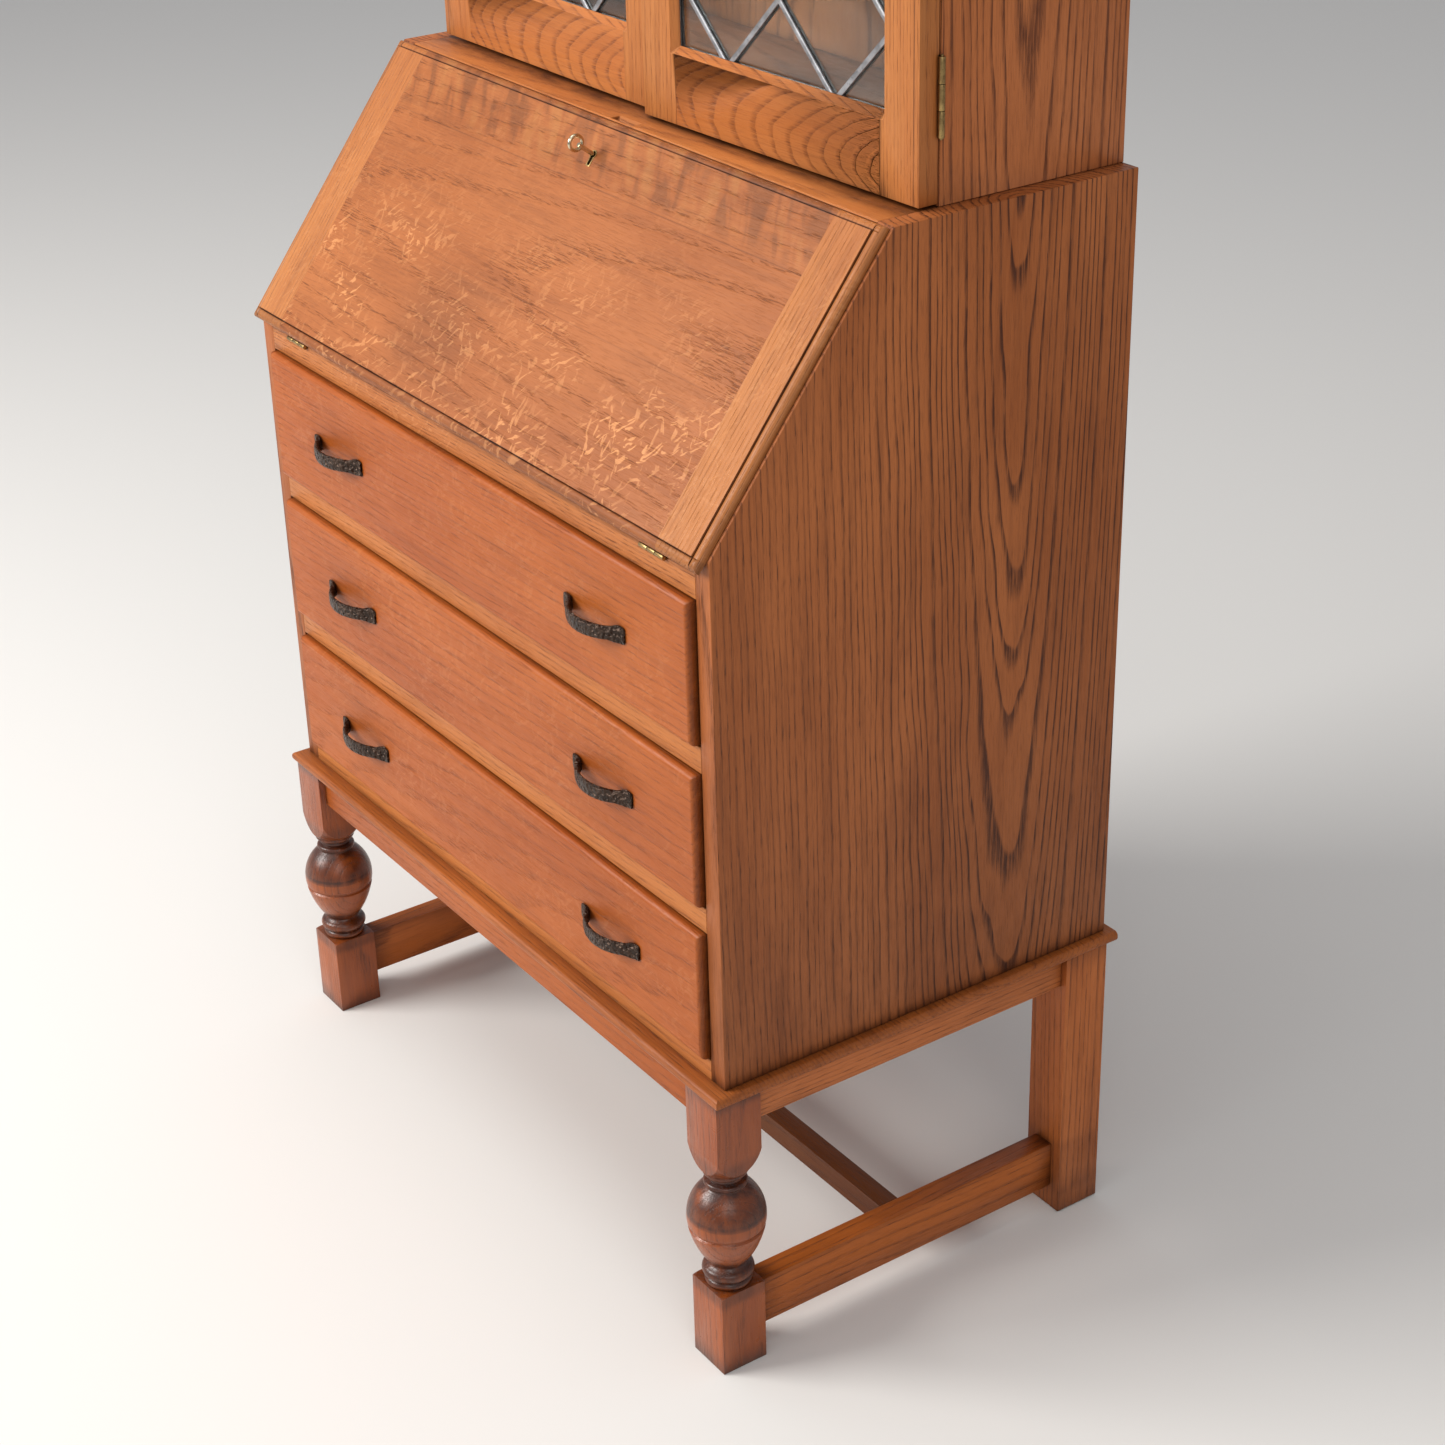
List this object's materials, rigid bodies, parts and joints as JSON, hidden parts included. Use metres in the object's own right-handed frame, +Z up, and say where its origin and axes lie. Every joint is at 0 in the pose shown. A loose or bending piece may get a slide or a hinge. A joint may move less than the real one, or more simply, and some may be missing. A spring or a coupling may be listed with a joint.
{
  "type": "bureau bookcase",
  "caption": "Oak writing bureau with sloping fall front and long drawers on a joined stand, under a shallow bookcase with diamond-leaded glazed doors.",
  "frame": {"origin": "on the floor, at the centre of the overall footprint", "axes": "+X to the right seen from the front, +Y to the back, +Z up; the drawers and the fall face -Y"},
  "size_m": [0.7958, 0.46, 1.972],
  "materials": {
    "oak_case": "waxed, medium honey brown",
    "oak_fall": "waxed, quarter sawn",
    "oak_drawer": "waxed, honey brown",
    "oak_stand": "waxed, dark patina",
    "oak_book": "waxed, brown",
    "inside_oak": "dry, thin finish",
    "hammered_iron": "blackened, hammered",
    "brass": "aged",
    "lead": "dull lead",
    "glass": "clear"
  },
  "bodies": {
    "cabinet": {"front_leg_left": "oak_stand", "front_leg_right": "oak_stand", "rear_leg_left": "oak_stand", "rear_leg_right": "oak_stand", "stand_side_rail_left": "oak_stand", "stand_side_rail_right": "oak_stand", "side_stretcher_left": "oak_stand", "side_stretcher_right": "oak_stand", "stand_front_rail": "oak_stand", "stand_back_rail": "oak_stand", "cross_stretcher": "oak_stand", "stand_cap": "oak_stand", "side_panel_left": "oak_case", "side_panel_right": "oak_case", "drawer_rails": "oak_case", "fall_rail": "oak_case", "writing_bed": "oak_case", "bureau_top": "oak_case", "bottom_board": "inside_oak", "drawer_runners": "inside_oak", "carcass_back": "inside_oak", "pigeonholes": "inside_oak", "bookcase_back": "inside_oak", "bookcase_side_left": "oak_book", "bookcase_side_right": "oak_book", "bookcase_base": "oak_book", "bookcase_top": "oak_book", "bookcase_shelves": "oak_book", "cornice": "oak_book", "rail_hinge_leaves": "brass", "stay_brackets": "brass", "case_hinge_leaves": "brass"},
    "drawer_bottom": {"drawer_bottom_front": "oak_drawer", "drawer_bottom_box": "inside_oak", "drawer_bottom_handles": "hammered_iron"},
    "drawer_middle": {"drawer_middle_front": "oak_drawer", "drawer_middle_box": "inside_oak", "drawer_middle_handles": "hammered_iron"},
    "drawer_top": {"drawer_top_front": "oak_drawer", "drawer_top_box": "inside_oak", "drawer_top_handles": "hammered_iron"},
    "fall": {"fall_panel": "oak_fall", "fall_cleat_left": "oak_fall", "fall_cleat_right": "oak_fall", "fall_lock": "brass", "fall_hinge_leaves": "brass", "stay_ears": "brass"},
    "stay_lower": {"stay_lower_arms": "brass"},
    "stay_upper": {"stay_upper_arms": "brass"},
    "key": {"fall_key": "brass"},
    "lock_bolt": {"lock_bolt": "brass"},
    "door_left": {"door_left_frame": "oak_book", "door_left_glass": "glass", "door_left_leading": "lead", "door_left_hinge_leaves": "brass"},
    "door_right": {"door_right_frame": "oak_book", "door_right_glass": "glass", "door_right_leading": "lead", "door_right_hinge_leaves": "brass", "door_right_knob": "oak_book"}
  },
  "joints": [
    {"name": "drawer_bottom_slide", "type": "slide", "parent": "cabinet", "child": "drawer_bottom", "axis": [0, -1, 0], "range_m": [0, 0.3]},
    {"name": "drawer_middle_slide", "type": "slide", "parent": "cabinet", "child": "drawer_middle", "axis": [0, -1, 0], "range_m": [0, 0.3]},
    {"name": "drawer_top_slide", "type": "slide", "parent": "cabinet", "child": "drawer_top", "axis": [0, -1, 0], "range_m": [0, 0.3]},
    {"name": "fall_hinge", "type": "hinge", "parent": "cabinet", "child": "fall", "pos_m": [0, -0.204, 0.7701], "axis": [1, 0, 0], "range_deg": [0, 127.82]},
    {"name": "stay_lower_pivot", "type": "hinge", "parent": "cabinet", "child": "stay_lower", "pos_m": [0, -0.142, 0.786], "axis": [1, 0, 0], "range_deg": [0, 127.82]},
    {"name": "stay_upper_pivot", "type": "hinge", "parent": "fall", "child": "stay_upper", "pos_m": [0, -0.12646, 0.85393], "axis": [1, 0, 0], "range_deg": [-127.82, 0]},
    {"name": "key_turn", "type": "hinge", "parent": "fall", "child": "key", "pos_m": [0, -0.04686, 0.98583], "axis": [0, -0.7899, 0.6132], "range_deg": [0, 90]},
    {"name": "lock_bolt_slide", "type": "slide", "parent": "fall", "child": "lock_bolt", "axis": [0, 0.6132, 0.7899], "range_m": [0, 0.007]},
    {"name": "door_left_hinge", "type": "hinge", "parent": "cabinet", "child": "door_left", "pos_m": [-0.3658, 0.0315, 1.4715], "axis": [0, 0, -1], "range_deg": [0, 110]},
    {"name": "door_right_hinge", "type": "hinge", "parent": "cabinet", "child": "door_right", "pos_m": [0.3658, 0.0315, 1.4715], "axis": [0, 0, 1], "range_deg": [-1.9, 108]}
  ],
  "couplings": [
    {"joint": "stay_lower_pivot", "follows": "fall_hinge", "ratio": 1},
    {"joint": "stay_upper_pivot", "follows": "fall_hinge", "ratio": -1}
  ]
}
